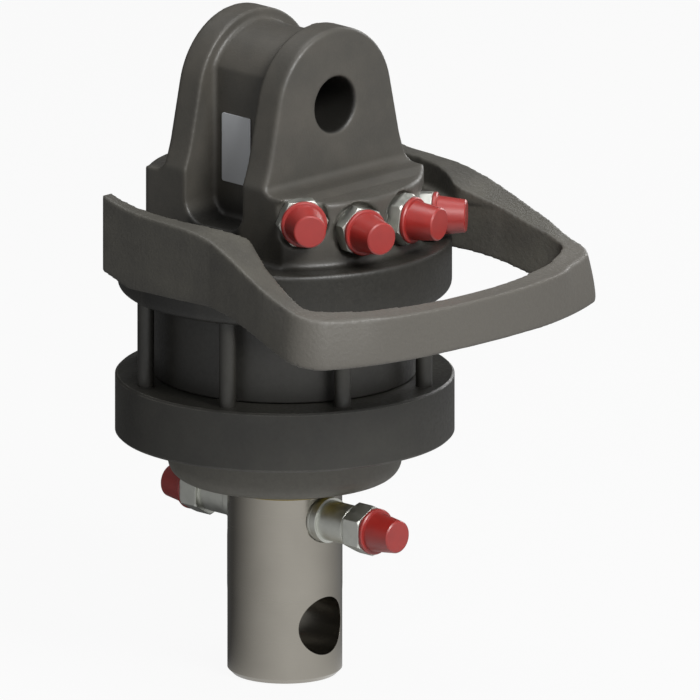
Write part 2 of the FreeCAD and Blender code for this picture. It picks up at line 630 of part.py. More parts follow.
# Long socket screws that clamp the stack from below
def plate_screws():
    seat_z = PLATE_BOTTOM_Z + COUNTERBORE_H
    tip_z = RING_TOP_Z + SCREW_GRIP
    screws = []
    for i in range(SCREWS):
        foot = polar(SCREW_PITCH_R, SCREW_FIRST_DEG + i * 360.0 / SCREWS, 0)
        shank = Part.makeCylinder(SCREW_R, tip_z - seat_z, foot + Vector(0, 0, seat_z))
        head = Part.makeCylinder(SCREW_HEAD_R, SCREW_HEAD_H, foot + Vector(0, 0, seat_z - SCREW_HEAD_H))
        socket = hexagon(SCREW_SOCKET_AF, SCREW_SOCKET_DEPTH, foot + Vector(0, 0, seat_z - SCREW_HEAD_H), Vector(0, 0, 1))
        screws.append(shank.fuse(head).removeSplitter().cut(socket))
    return Part.makeCompound(screws)


def dowel_pins():
    z0 = PLATE_TOP_Z - DOWEL_DEPTH + 0.5
    z1 = RING_TOP_Z + DOWEL_DEPTH - 0.5
    return Part.makeCompound([Part.makeCylinder(DOWEL_R, z1 - z0, polar(DOWEL_PITCH_R, deg, z0))
                              for deg in (45.0, 225.0)])


# Hose adapters and their push-on caps
def adapter(seat, out, body_len, neck_len, nut_len):
    """An adapter from its seat outwards: thread, seal washer seat, hexagon, neck, nut and spigot."""
    start = seat + out * BONDED_T
    parts = [Part.makeCylinder(THREAD_R, THREAD_LEN + BONDED_T, seat - out * THREAD_LEN, out)]
    if neck_len:
        parts.append(Part.makeCylinder(LOWER_COLLAR_R, LOWER_COLLAR_LEN, start, out))
        parts.append(Part.makeCylinder(LOWER_BODY_R, body_len, start, out))
        parts.append(Part.makeCylinder(LOWER_NECK_R, neck_len, start + out * body_len, out))
        parts.append(rounded_hex(start + out * (body_len + neck_len), out, nut_len))
    else:
        parts.append(rounded_hex(start, out, body_len))
    face = start + out * (body_len + neck_len + nut_len)
    parts.append(Part.makeCylinder(SPIGOT_R, SPIGOT_LEN, face, out))
    whole = parts[0]
    for piece in parts[1:]:
        whole = whole.fuse(piece)
    way = Part.makeCylinder(GALLERY_R, 200, seat - out * (THREAD_LEN + 1), out)
    return one_solid(whole.removeSplitter().cut(way))


def rounded_hex(base, out, length):
    """A hexagon with its corners turned off at both ends."""
    bar = hexagon(HEX_AF, length, base, out, 30.0)
    small_r = HEX_AF / 2 + HEX_TURN / 2
    wide_r = small_r + length
    cone_out = Part.makeCone(wide_r, small_r - HEX_TURN / 2, length + HEX_TURN / 2, base, out)
    cone_in = Part.makeCone(small_r - HEX_TURN / 2, wide_r, length + HEX_TURN / 2, base - out * (HEX_TURN / 2), out)
    return bar.common(cone_out).common(cone_in)


def cap(face, out):
    """A push-on cap: a wide rim and a tapering nose, hollow over the spigot."""
    rim = Part.makeCylinder(CAP_RIM_R, CAP_RIM_T, face, out)
    rim = rim.makeChamfer(CAP_CHAMFER, [e for e in rim.Edges if isinstance(e.Curve, Part.Circle)])
    nose = Part.makeCone(CAP_BASE_R, CAP_TIP_R, CAP_LEN, face, out)
    tip_edges = [e for e in nose.Edges if isinstance(e.Curve, Part.Circle)
                 and abs(e.Curve.Radius - CAP_TIP_R) < 0.01]
    nose = nose.makeChamfer(CAP_CHAMFER, tip_edges)
    hollow = Part.makeCylinder(SPIGOT_R + BORE_FIT, SPIGOT_LEN + 1, face - out * 0.5, out)
    return one_solid(rim.fuse(nose).removeSplitter().cut(hollow))


def port_frames():
    """Seat point and outward direction of each upper port; the first aims a little off its own bearing."""
    return [(polar(PORT_SEAT_R, deg, FLANGE_TOP_Z + h), bearing(aim))
            for deg, aim, h in zip(PORT_DEGS, PORT_AIMS, PORT_HEIGHTS)]


def lower_port_frames():
    """Seat point and outward direction of the two ports on the shaft."""
    return [(Vector(0, s * LOWER_SEAT_Y, LOWER_PORT_Z), Vector(0, s, 0)) for s in (-1, 1)]


def bonded_washer(seat, out, radius):
    outer = Part.makeCylinder(radius, BONDED_T, seat, out)
    return outer.cut(Part.makeCylinder(THREAD_R, BONDED_T, seat, out))


# Hose guard: a cast loop that hugs the flange and reaches out in front of the ports
def corner_round(corner, back, ahead, radius):
    """Start, middle and end of the round at a corner, from two unit directions that leave it."""
    half = math.acos(max(-1.0, min(1.0, back.dot(ahead)))) / 2
    reach = radius / math.tan(half)
    middle = back + ahead
    middle.normalize()
    return corner + back * reach, corner + middle * (radius / math.sin(half) - radius), corner + ahead * reach


def guard_outer_wire(z, corner, front_y, radius):
    """The guard's outline at one height, with round front corners and a bowed front."""
    tail = Vector(GUARD_TAIL_X, GUARD_TAIL_Y, z)
    waist = Vector(GUARD_WAIST_X, GUARD_WAIST_Y, z)
    tip = Vector(corner[0], corner[1], z)
    rise = corner[1] - front_y
    bow_r = (corner[0] ** 2 + rise ** 2) / (2 * rise)
    back = waist - tip
    back.normalize()
    ahead = Vector(-(bow_r - rise), -corner[0], 0)
    ahead.normalize()
    a, b, c = corner_round(tip, back, ahead, radius)
    points = [tail, waist, a, b, c]
    left = [Vector(-p.x, p.y, p.z) for p in points]
    edges = [
        Part.LineSegment(tail, waist).toShape(),
        Part.LineSegment(waist, a).toShape(),
        Part.Arc(a, b, c).toShape(),
        Part.Arc(c, Vector(0, front_y, z), left[4]).toShape(),
        Part.Arc(left[4], left[3], left[2]).toShape(),
        Part.LineSegment(left[2], left[1]).toShape(),
        Part.LineSegment(left[1], left[0]).toShape(),
        Part.LineSegment(left[0], tail).toShape(),
    ]
    return Part.Wire(edges)


def guard_inner_face(hug_r):
    """The opening: a slim tail, round where it hugs the flange, then out to the front bar."""
    def v(x, y):
        return Vector(x, y, GUARD_LOW_Z - 1)
    hug_y = -math.sqrt(hug_r ** 2 - GUARD_HUG_X ** 2)
    start_x = math.sqrt(hug_r ** 2 - GUARD_TAIL_START_Y ** 2)
    tail = v(GUARD_TAIL_X - GUARD_TAIL_T, GUARD_TAIL_Y + 1)
    right = [v(GUARD_HUG_X, hug_y), v(GUARD_INNER_X, GUARD_INNER_Y), v(GUARD_INNER_CORNER_X, GUARD_INNER_CORNER_Y)]
    left = [Vector(-p.x, p.y, p.z) for p in reversed(right)]
    start = v(start_x, GUARD_TAIL_START_Y)
    edges = [Part.LineSegment(tail, start).toShape(), Part.Arc(start, v(hug_r, 0), right[0]).toShape()]
    edges.extend(Part.LineSegment(a, b).toShape() for a, b in zip(right, right[1:]))
    edges.append(Part.Arc(right[-1], v(0, GUARD_INNER_FRONT_Y), left[0]).toShape())
    edges.extend(Part.LineSegment(a, b).toShape() for a, b in zip(left, left[1:]))
    edges.append(Part.Arc(left[-1], v(-hug_r, 0), v(-start_x, GUARD_TAIL_START_Y)).toShape())
    edges.append(Part.LineSegment(v(-start_x, GUARD_TAIL_START_Y), Vector(-tail.x, tail.y, tail.z)).toShape())
    edges.append(Part.LineSegment(Vector(-tail.x, tail.y, tail.z), tail).toShape())
    return Part.Face(Part.Wire(edges))


def upright_edge(e, x_min, y_max):
    """True for a vertical edge beyond x_min on either side and in front of y_max."""
    box = e.BoundBox
    straight = box.XLength < 0.01 and box.YLength < 0.01
    return straight and abs(box.XMin) > x_min and box.YMin < y_max


def guard_side_profile():
    """The side view of the guard, swept right across."""
    def v(y, z):
        return Vector(-GUARD_LOW_CORNER[0] - 5, y, z)
    top = Part.BSplineCurve()
    top.interpolate([v(y, z) for y, z in GUARD_TOP])
    low = Part.BSplineCurve()
    low.interpolate([v(y, z) for y, z in GUARD_BOTTOM])
    tail_top = v(*GUARD_TOP[0])
    tail_low = v(GUARD_TAIL_Y, GUARD_TAIL_BOTTOM_Z)
    heel = v(GUARD_HEEL_Y, GUARD_HEEL_Z)
    edges = [top.toShape(),
             Part.LineSegment(v(*GUARD_TOP[-1]), v(*GUARD_BOTTOM[-1])).toShape(),
             low.toShape(),
             Part.LineSegment(v(*GUARD_BOTTOM[0]), heel).toShape(),
             Part.LineSegment(heel, tail_low).toShape(),
             Part.LineSegment(tail_low, tail_top).toShape()]
    wire = Part.Wire(Part.__sortEdges__(edges))
    return Part.Face(wire).extrude(Vector(2 * GUARD_LOW_CORNER[0] + 10, 0, 0))


def lug_screw_places():
    return [(sx * LUG_SCREW_X, sy * LUG_SCREW_Y) for sx in (-1, 1) for sy in (-1, 1)]


def guard_opening(hug_r, z_top):
    """The opening from below the guard up to z_top, its corners rounded."""
    cutter = guard_inner_face(hug_r).extrude(Vector(0, 0, z_top - GUARD_LOW_Z + 1))
    return round_edges(cutter, GUARD_INNER_ROUND, lambda e: upright_edge(e, GUARD_HUG_X - 1, -30))


def hose_guard():
    low = guard_outer_wire(GUARD_LOW_Z, GUARD_LOW_CORNER, GUARD_LOW_FRONT_Y, GUARD_LOW_ROUND)
    high = guard_outer_wire(GUARD_HIGH_Z, GUARD_HIGH_CORNER, GUARD_HIGH_FRONT_Y, GUARD_HIGH_ROUND)
    body = Part.makeLoft([low, high], True, True).common(guard_side_profile())
    body = body.cut(guard_opening(FLANGE_R + 2 * RUN_FIT, GUARD_LEDGE_Z))
    body = body.cut(guard_opening(FLANGE_R + GUARD_GAP, GUARD_HIGH_Z + 1).cut(
        block(-200, 200, -200, 200, GUARD_LOW_Z - 2, GUARD_LEDGE_Z)))
    lugs = []
    for s in (-1, 1):
        x0, x1 = sorted((s * LUG_IN_X, s * (FLANGE_R + GUARD_GAP + 3)))
        lug = block(x0, x1, -LUG_HALF_Y, LUG_HALF_Y, FLANGE_TOP_Z, FLANGE_TOP_Z + LUG_T)
        inner_x = s * LUG_IN_X
        lug = round_edges(lug, 6.0, lambda e: e.BoundBox.ZLength > 5 and abs(e.BoundBox.XMin - inner_x) < 0.01)
        lugs.append(lug)
    body = body.fuse(lugs).removeSplitter()
    holes = []
    for x, y in lug_screw_places():
        holes.append(Part.makeCylinder(LUG_SCREW_R + BORE_FIT, LUG_T + 2, Vector(x, y, FLANGE_TOP_Z - 1)))
        sink = Vector(x, y, FLANGE_TOP_Z + LUG_T - LUG_HEAD_H)
        holes.append(Part.makeCylinder(LUG_HEAD_R + 0.4, LUG_HEAD_H + 1, sink))
    return one_solid(body.cut(holes))


def guard_screws():
    seat_z = FLANGE_TOP_Z + LUG_T - LUG_HEAD_H
    screws = []
    for x, y in lug_screw_places():
        head = Part.makeCylinder(LUG_HEAD_R, LUG_HEAD_H, Vector(x, y, seat_z))
        shank = Part.makeCylinder(LUG_SCREW_R, LUG_SCREW_LEN, Vector(x, y, seat_z - LUG_SCREW_LEN))
        socket = hexagon(SCREW_SOCKET_AF, 4.0, Vector(x, y, seat_z + LUG_HEAD_H - 4.0), Vector(0, 0, 1))
        screws.append(head.fuse(shank).removeSplitter().cut(socket))
    return Part.makeCompound(screws)


def type_plate():
    top = FLANGE_TOP_Z + TYPE_PLATE_TOP_H
    half = TYPE_PLATE_W / 2
    x0 = -WEB_HALF_X - TYPE_PLATE_T
    body = block(x0, -WEB_HALF_X, TYPE_PLATE_Y - half, TYPE_PLATE_Y + half, top - TYPE_PLATE_H, top)
    return round_edges(body, 1.5, lambda e: e.BoundBox.XLength > 0.5 * TYPE_PLATE_T)


# Write every piece
save("head_casting", head_casting())
save("cam_ring", cam_ring())
save("lower_plate", lower_plate())
save("plate_screws", plate_screws())
save("dowel_pins", dowel_pins())
save("shaft", shaft())
save("rotor", rotor())
save("rotor_keys", rotor_keys())
for number, degrees in enumerate(vane_degs(), start=1):
    save("vane_%d" % number, vane(degrees))
save("vane_springs", vane_springs())
save("thrust_rollers", thrust_rollers())
save("roller_cage", roller_cage())
save("thrust_washer_upper", ring(BEARING_OUT_R, BEARING_IN_R, UPPER_WASHER_Z, COLLAR_BOTTOM_Z))
save("thrust_washer_lower", ring(BEARING_OUT_R, BEARING_IN_R, LOWER_WASHER_Z, LOWER_WASHER_Z + WASHER_T))
save("lower_bush", ring(SHAFT_R + BUSH_T, SHAFT_BORE_R, LOWER_BUSH_Z, LOWER_BUSH_TOP_Z))
save("upper_bush", ring(JOURNAL_R + BUSH_T, JOURNAL_BORE_R, RING_TOP_Z, RING_TOP_Z + UPPER_BUSH_LEN))
save("shaft_seal", ring(SEAL_R, SHAFT_BORE_R, SEAL_Z, SEAL_Z + SEAL_H))
save("wiper_ring", ring(WIPER_R, SHAFT_BORE_R, BOSS_BOTTOM_Z, BOSS_BOTTOM_Z + WIPER_H))
save("swivel_rings", Part.makeCompound([ring(JOURNAL_R + SWIVEL_RING_DEPTH, JOURNAL_BORE_R, z, z + SWIVEL_RING_H)
                                        for z in swivel_ring_heights()]))
save("face_seal_lower", ring(FACE_SEAL_R + FACE_SEAL_W / 2, FACE_SEAL_R - FACE_SEAL_W / 2,
                             PLATE_TOP_Z - FACE_SEAL_DEPTH, PLATE_TOP_Z))
save("face_seal_upper", ring(FACE_SEAL_R + FACE_SEAL_W / 2, FACE_SEAL_R - FACE_SEAL_W / 2,
                             RING_TOP_Z, RING_TOP_Z + FACE_SEAL_DEPTH))
for number, (seat, out) in enumerate(port_frames(), start=1):
    save("port_adapter_%d" % number, adapter(seat, out, HEX_T, 0.0, 0.0))
    save("port_cap_%d" % number, cap(seat + out * (BONDED_T + HEX_T), out))
save("port_washers", Part.makeCompound([bonded_washer(seat, out, BONDED_R) for seat, out in port_frames()]))
for side, (seat, out) in zip(("front", "rear"), lower_port_frames()):
    save("shaft_adapter_" + side, adapter(seat, out, LOWER_BODY_LEN, LOWER_NECK_LEN, LOWER_NUT_LEN))
    reach = BONDED_T + LOWER_BODY_LEN + LOWER_NECK_LEN + LOWER_NUT_LEN
    save("shaft_cap_" + side, cap(seat + out * reach, out))
save("shaft_port_washers", Part.makeCompound([bonded_washer(seat, out, LOWER_COLLAR_R)
                                              for seat, out in lower_port_frames()]))
save("hose_guard", hose_guard())
save("guard_screws", guard_screws())
save("type_plate", type_plate())
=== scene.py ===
import math

import bpy
from mathutils import Matrix, Vector


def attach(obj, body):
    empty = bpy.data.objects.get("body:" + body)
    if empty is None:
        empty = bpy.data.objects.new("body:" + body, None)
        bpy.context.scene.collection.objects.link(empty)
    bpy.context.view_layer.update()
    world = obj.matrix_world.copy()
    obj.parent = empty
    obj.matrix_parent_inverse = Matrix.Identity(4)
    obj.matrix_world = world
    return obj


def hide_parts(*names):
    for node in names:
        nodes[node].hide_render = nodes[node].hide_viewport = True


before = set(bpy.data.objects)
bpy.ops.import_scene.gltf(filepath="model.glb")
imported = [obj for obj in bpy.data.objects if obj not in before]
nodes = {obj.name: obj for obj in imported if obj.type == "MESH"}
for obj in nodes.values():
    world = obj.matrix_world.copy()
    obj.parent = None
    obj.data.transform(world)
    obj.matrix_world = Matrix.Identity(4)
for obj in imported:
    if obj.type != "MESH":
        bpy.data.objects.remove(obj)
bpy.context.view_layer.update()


# Head casting: flange, port block and the two ears with their web.
# Ductile iron poured in a sand mould, then dipped in a dark warm grey satin paint.
# The film is faintly cloudy, has a fine orange peel, and is paler along the edges: partly worn, partly
# painted highlight.
MM = 0.001
FLANGE_TOP_MM = 269.5
PIN_BORE_CENTRE_MM = (0, 0, 357.5)
PIN_BORE_RADIUS_MM = 16.5
GROOVE_FLOOR_MM = 285.0
GROOVE_HALF_WIDTH_MM = 24.0
GROOVE_SHADE_HEIGHT_MM = 22.0


def linear(hex_colour):
    """An sRGB hex colour as the linear values that the shaders take."""
    channels = [int(hex_colour[i:i + 2], 16) / 255 for i in (1, 3, 5)]
    return [c / 12.92 if c <= 0.04045 else ((c + 0.055) / 1.055) ** 2.4 for c in channels] + [1.0]


def grain(size_mm):
    """The scale of a pattern, from the real size of its grain."""
    return 1 / (size_mm * MM)


def new_material(name):
    """An empty node material with its Principled shader; returns both."""
    material = bpy.data.materials.new(name)
    material.use_nodes = True
    return material, material.node_tree.nodes["Principled BSDF"]


def wire(owner, node, inputs):
    """Fills a node's inputs, each with a plain value or with another node's output."""
    for name, value in inputs.items():
        if isinstance(value, bpy.types.NodeSocket):
            owner.node_tree.links.new(value, node.inputs[name])
        else:
            node.inputs[name].default_value = value


def add_node(owner, kind, inputs=None, **settings):
    """Adds one shader node to a material or to the world, with its settings and its inputs."""
    node = owner.node_tree.nodes.new("ShaderNode" + kind)
    for name, value in settings.items():
        setattr(node, name, value)
    wire(owner, node, inputs or {})
    return node


def cast_paint(name, deep, pale, worn_and_highlight, peel_mm, peel_depth_mm, roughness):
    """Satin paint on a sand casting: cloudy film, orange peel, and edges paled partly by wear and
    partly by painted highlight.

    Noise stays within about 0.3 to 0.7, and each MapRange spreads that out.
    """
    material, shader = new_material(name)
    place = add_node(material, "TexCoord").outputs["Object"]
    cloud = add_node(material, "TexNoise", {"Vector": place, "Scale": grain(26.0), "Detail": 4.0,
                                            "Roughness": 0.62})
    film = add_node(material, "MapRange", {"Value": cloud.outputs["Fac"], "From Min": 0.34,
                                           "From Max": 0.68})
    paint = add_node(material, "Mix", {"Factor": film.outputs["Result"], "A": linear(deep),
                                       "B": linear(pale)}, data_type="RGBA")
    peel = add_node(material, "TexNoise", {"Vector": place, "Scale": grain(peel_mm), "Detail": 3.0,
                                           "Roughness": 0.55})
    # Where the rounded normal leaves the flat one, there is an edge, and the film is paler: partly
    # worn, partly painted highlight.
    rounded = add_node(material, "Bevel", {"Radius": 1.1 * MM}, samples=6)
    flat = add_node(material, "NewGeometry")
    facing = add_node(material, "VectorMath", {0: rounded.outputs["Normal"],
                                               1: flat.outputs["Normal"]}, operation="DOT_PRODUCT")
    edge_wear_and_highlight = add_node(material, "MapRange", {"Value": facing.outputs["Value"], "From Min": 0.99,
                                          "From Max": 0.80, "To Max": 0.80})
    wear_and_highlight_amount = add_node(material, "Math", {0: edge_wear_and_highlight.outputs["Result"], 1: film.outputs["Result"]},
                      operation="MULTIPLY")
    colour = add_node(material, "Mix", {"Factor": wear_and_highlight_amount.outputs["Value"], "A": paint.outputs["Result"],
                                        "B": linear(worn_and_highlight)}, data_type="RGBA")
    dull = add_node(material, "MapRange", {"Value": peel.outputs["Fac"], "From Min": 0.3,
                                           "From Max": 0.7, "To Min": roughness - 0.06,
                                           "To Max": roughness + 0.08})
    bump = add_node(material, "Bump", {"Height": peel.outputs["Fac"], "Distance": peel_depth_mm * MM,
                                       "Strength": 1.0, "Normal": rounded.outputs["Normal"]})
    wire(material, shader, {"Base Color": colour.outputs["Result"], "Roughness": dull.outputs["Result"],
                            "Normal": bump.outputs["Normal"]})
    return material


def lay_over(material, amount, tint):
    """Lays a second tone over a paint, as much of it as amount says at each point."""
    shader = material.node_tree.nodes["Principled BSDF"]
    paint = shader.inputs["Base Color"].links[0].from_socket
    blend = add_node(material, "Mix", {"Factor": amount, "A": paint, "B": linear(tint)},
                     data_type="RGBA")
    wire(material, shader, {"Base Color": blend.outputs["Result"]})


def zone_tint(material, axis, start_mm, full_mm, tint, strength, grain_mm):
    """A speckled second tone that grows from one height or depth to another."""
    place = add_node(material, "TexCoord").outputs["Object"]
    parts = add_node(material, "SeparateXYZ", {"Vector": place})
    near = add_node(material, "MapRange", {"Value": parts.outputs[axis], "From Min": start_mm * MM,
                                           "From Max": full_mm * MM})
    speckle = add_node(material, "TexNoise", {"Vector": place, "Scale": grain(grain_mm), "Detail": 4.0,
                                              "Roughness": 0.7})
    spots = add_node(material, "MapRange", {"Value": speckle.outputs["Fac"], "From Min": 0.35,
                                            "From Max": 0.62, "To Min": 0.86 * strength,
                                            "To Max": strength})
    amount = add_node(material, "Math", {0: near.outputs["Result"], 1: spots.outputs["Result"]},
                      operation="MULTIPLY")
    lay_over(material, amount.outputs["Value"], tint)


def bore_shade(material, centre_mm, radius_mm, tint):
    """Darkens the wall of a bore along Y to nearly black: painted shade inside the bore, over a wall
    that is bare and oily instead of painted.
    """
    start_mm, full_mm = radius_mm + 1.6, radius_mm + 0.5
    place = add_node(material, "TexCoord").outputs["Object"]
    from_axis = add_node(material, "VectorMath", {0: place, 1: Vector(centre_mm) * MM},
                         operation="SUBTRACT")
    across = add_node(material, "VectorMath", {0: from_axis.outputs["Vector"], 1: (1, 0, 1)},
                      operation="MULTIPLY")
    radius = add_node(material, "VectorMath", {0: across.outputs["Vector"]}, operation="LENGTH")
    inside = add_node(material, "MapRange", {"Value": radius.outputs["Value"],
                                             "From Min": start_mm * MM, "From Max": full_mm * MM})
    lay_over(material, inside.outputs["Result"], tint)


def groove_painted_shade(material, floor_mm, height_mm, half_width_mm, tint):
    """Painted shade at the foot of the two grooves between the ears, where the ledge lies in shade."""
    start_mm, full_mm = half_width_mm + 1.0, half_width_mm - 5.0
    place = add_node(material, "TexCoord").outputs["Object"]
    parts = add_node(material, "SeparateXYZ", {"Vector": place})
    low = add_node(material, "MapRange", {"Value": parts.outputs["Z"],
                                          "From Min": (floor_mm + height_mm) * MM,
                                          "From Max": floor_mm * MM}, interpolation_type="SMOOTHSTEP")
    aside = add_node(material, "Math", {0: parts.outputs["Y"]}, operation="ABSOLUTE")
    between = add_node(material, "MapRange", {"Value": aside.outputs["Value"],
                                              "From Min": start_mm * MM, "From Max": full_mm * MM},
                       interpolation_type="SMOOTHSTEP")
    amount = add_node(material, "Math", {0: low.outputs["Result"], 1: between.outputs["Result"]},
                      operation="MULTIPLY")
    lay_over(material, amount.outputs["Value"], tint)


def copy_of(node, prefix):
    """A copy of a CAD node, to be reshaped and set in the node's place."""
    piece = nodes[node].copy()
    piece.data = nodes[node].data.copy()
    piece.name = prefix + node
    bpy.context.scene.collection.objects.link(piece)
    return piece


def set_in_place(piece, node, material):
    """Paints a reshaped copy and lets it stand for its node on the housing."""
    piece.data.materials.clear()
    piece.data.materials.append(material)
    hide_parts(node)
    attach(piece, "housing")


def soft_cast_copy(node, material, voxel_mm, passes, reshape=None):
    """A copy of a CAD node with every edge softened as sand leaves it, in the node's place."""
    piece = copy_of(node, "cast_")
    remesh = piece.modifiers.new("sand_skin", "REMESH")
    remesh.mode = "VOXEL"
    remesh.voxel_size = voxel_mm * MM
    remesh.use_smooth_shade = True
    soften = piece.modifiers.new("soft_edges", "SMOOTH")
    soften.factor = 0.5
    soften.iterations = passes
    evaluated = piece.evaluated_get(bpy.context.evaluated_depsgraph_get())
    mesh = bpy.data.meshes.new_from_object(evaluated)
    piece.modifiers.clear()
    piece.data = mesh
    if reshape:
        reshape(mesh)
    set_in_place(piece, node, material)


satin_casting_paint = cast_paint("satin_paint_on_cast_iron", "#413f3a", "#4b4842", "#8a8479",
                                 peel_mm=1.6, peel_depth_mm=0.10, roughness=0.46)
# Below the port block the flange is turned, with a smoother film, and darker: partly that film, partly
# painted shade under the port block and the guard.
zone_tint(satin_casting_paint, "Z", FLANGE_TOP_MM + 4.5, FLANGE_TOP_MM + 0.5, "#201f1b",
          strength=0.95, grain_mm=3.0)
# Painted shade inside the pin bore.
bore_shade(satin_casting_paint, PIN_BORE_CENTRE_MM, PIN_BORE_RADIUS_MM, "#1d1c19")
# Painted shade at the foot of the grooves between the ears.
groove_painted_shade(satin_casting_paint, GROOVE_FLOOR_MM, GROOVE_SHADE_HEIGHT_MM, GROOVE_HALF_WIDTH_MM, "#191815")
soft_cast_copy("head_casting", satin_casting_paint, voxel_mm=1.3, passes=2)


# Lower plate and its long screws: a turned iron plate, clamped under the head with the ring.
# It has the head's paint, but over turned faces, so the film is smoother.
# It is darker partly for that film and partly as painted shade under the flange and the guard;
# its pale edges are mostly painted highlight.
# The foot of the boss is greyer: painted light, as thrown up from the floor.
PLATE_FOOT_MM = 148.5


def dress(material, *names):
    """Gives CAD nodes a finish in place of their plain one."""
    for name in names:
        for slot in nodes[name].material_slots:
            slot.material = material


# Darker than the head's paint, partly as painted shade; the pale edge colour is mostly painted
# highlight.
smooth_shaded_casting_paint = cast_paint("satin_paint_on_turned_iron", "#272622", "#302f2a", "#aeaaa1",
                                  peel_mm=2.4, peel_depth_mm=0.05, roughness=0.46)
# Painted light on the foot of the boss.
zone_tint(smooth_shaded_casting_paint, "Z", PLATE_FOOT_MM + 1.0, PLATE_FOOT_MM - 2.0, "#6b6961",
          strength=0.95, grain_mm=3.0)
dress(smooth_shaded_casting_paint, "lower_plate", "plate_screws")


# Cam ring: the turned iron ring between plate and head, held by the same screws.
# Its paint is nearly black, as painted shade under the flange, and its outside is pushed out to close
# the gap beside the screws.
RING_RADIUS_MM = 77.5
WIDENED_RING_RADIUS_MM = 78.3


def widened_ring(node, material, turned_mm, widened_mm):
    """A copy of a ring whose outside is pushed out from the turned radius to the widened one."""
    piece = copy_of(node, "coated_")
    facet_slack_mm = 0.2
    for vertex in piece.data.vertices:
        radius = math.hypot(vertex.co.x, vertex.co.y)
        if radius > (turned_mm - facet_slack_mm) * MM:
            vertex.co.x *= widened_mm * MM / radius
            vertex.co.y *= widened_mm * MM / radius
    set_in_place(piece, node, material)


# Nearly black paint: painted shade under the flange.
shaded_ring_paint = cast_paint("shaded_paint_on_turned_ring", "#1e1d1a", "#262521", "#45423b",
                              peel_mm=2.4, peel_depth_mm=0.04, roughness=0.48)
widened_ring("cam_ring", shaded_ring_paint, RING_RADIUS_MM, WIDENED_RING_RADIUS_MM)


# Hose guard: one long sand casting that hugs the flange and loops in front of the ports.
# It is screwed to the flange. The bumped front bar is grainier than the wings, and paler:
# partly worn paint, partly painted light on the bar that faces the lamps.
BAR_TINT_START_MM = -112.0
BAR_TINT_FULL_MM = -136.0


def share(value, start, full):
    """How far a value has come on its way from start to full, from 0 to 1."""
    return min(max((value - start) / (full - start), 0), 1)


def lean_corners(mesh):
    """Pulls the tops of the two front corners in, as the draft of the mould leaves them."""
    lean_mm, foot_mm, top_mm, steepening = 6.0, 236.0, 266.0, 1.4
    outwards_start_mm, outwards_full_mm = 154.0, 180.0
    sideways_start_mm, sideways_full_mm = 60.0, 90.0
    corner_x, corner_y = 0.706, -0.708
    for vertex in mesh.vertices:
        x, y, z = (part / MM for part in vertex.co)
        near = share(corner_x * abs(x) + corner_y * y, outwards_start_mm, outwards_full_mm)
        near *= share(abs(x), sideways_start_mm, sideways_full_mm)
        height = share(z, foot_mm, top_mm)
        shift = lean_mm * near * near * (3 - 2 * near) * height ** steepening
        vertex.co.x -= math.copysign(corner_x * shift * MM, x)
        vertex.co.y -= corner_y * shift * MM


grainy_casting_paint = cast_paint("satin_paint_on_rough_casting", "#42403b", "#4e4c45", "#726d64",
                                  peel_mm=2.4, peel_depth_mm=0.28, roughness=0.50)
# Paler towards the front: partly worn paint, partly painted light.
zone_tint(grainy_casting_paint, "Y", BAR_TINT_START_MM, BAR_TINT_FULL_MM, "#5a5751",
          strength=1.0, grain_mm=1.6)
dress(grainy_casting_paint, "guard_screws")
soft_cast_copy("hose_guard", grainy_casting_paint, voxel_mm=1.2, passes=3, reshape=lean_corners)


# Output shaft: forged steel bar, turned and ground, left bare.
# Fine rings of the turning tool run round it; they are drawn coarser than real, to show.
def turned_steel(name, bright, dim, ring_mm, roughness, metal=1.0):
    """Turned metal: a slow stain over it, and rings that are long across and short along Z."""
    material, shader = new_material(name)
    place = add_node(material, "TexCoord").outputs["Object"]
    squeezed = add_node(material, "Mapping", {"Vector": place,
                                              "Scale": (grain(220.0), grain(220.0), grain(ring_mm))})
    rings = add_node(material, "TexNoise", {"Vector": squeezed.outputs["Vector"], "Scale": 1.0,
                                            "Detail": 5.0, "Roughness": 0.7})
    stain = add_node(material, "TexNoise", {"Vector": place, "Scale": grain(30.0), "Detail": 3.0})
    tone = add_node(material, "Mix", {"Factor": stain.outputs["Fac"], "A": linear(dim),
                                      "B": linear(bright)}, data_type="RGBA")
    sheen = add_node(material, "MapRange", {"Value": rings.outputs["Fac"], "From Min": 0.3,
                                            "From Max": 0.7, "To Min": roughness - 0.03,
                                            "To Max": roughness + 0.04})
    eased = add_node(material, "Bevel", {"Radius": 0.5 * MM}, samples=4)
    bump = add_node(material, "Bump", {"Height": rings.outputs["Fac"], "Distance": 0.02 * MM,
                                       "Strength": 0.25, "Normal": eased.outputs["Normal"]})
    wire(material, shader, {"Metallic": metal, "Base Color": tone.outputs["Result"],
                            "Roughness": sheen.outputs["Result"], "Normal": bump.outputs["Normal"]})
    return material


ground_shaft_steel = turned_steel("turned_shaft_steel", "#9b978e", "#8d8981", ring_mm=1.4,
                                  roughness=0.24)
dress(ground_shaft_steel, "shaft")


# Vane motor and thrust bearing: rotor, vanes, keys, bow springs, rollers, races and dowels.
# Case-hardened steel, ground, which is a cooler and even grey.
# All of it is inside, and shows when the housing is opened.
hardened_steel = turned_steel("hardened_ground_steel", "#8d8d8f", "#7b7b7e", ring_mm=0.9,
                              roughness=0.26)
dress(hardened_steel, "rotor", "rotor_keys", "vane_springs", "thrust_rollers", "thrust_washer_upper",
      "thrust_washer_lower", "dowel_pins", *["vane_%d" % number for number in range(1, 9)])


# Bushes and roller cage: turned bearing bronze. The bushes are pressed into the housing.
# The bronze looks a dull gold, with a warm oily film.
bearing_bronze = turned_steel("turned_bearing_bronze", "#b78a4c", "#9a7038", ring_mm=1.1,
                              roughness=0.34)
dress(bearing_bronze, "lower_bush", "upper_bush", "roller_cage")


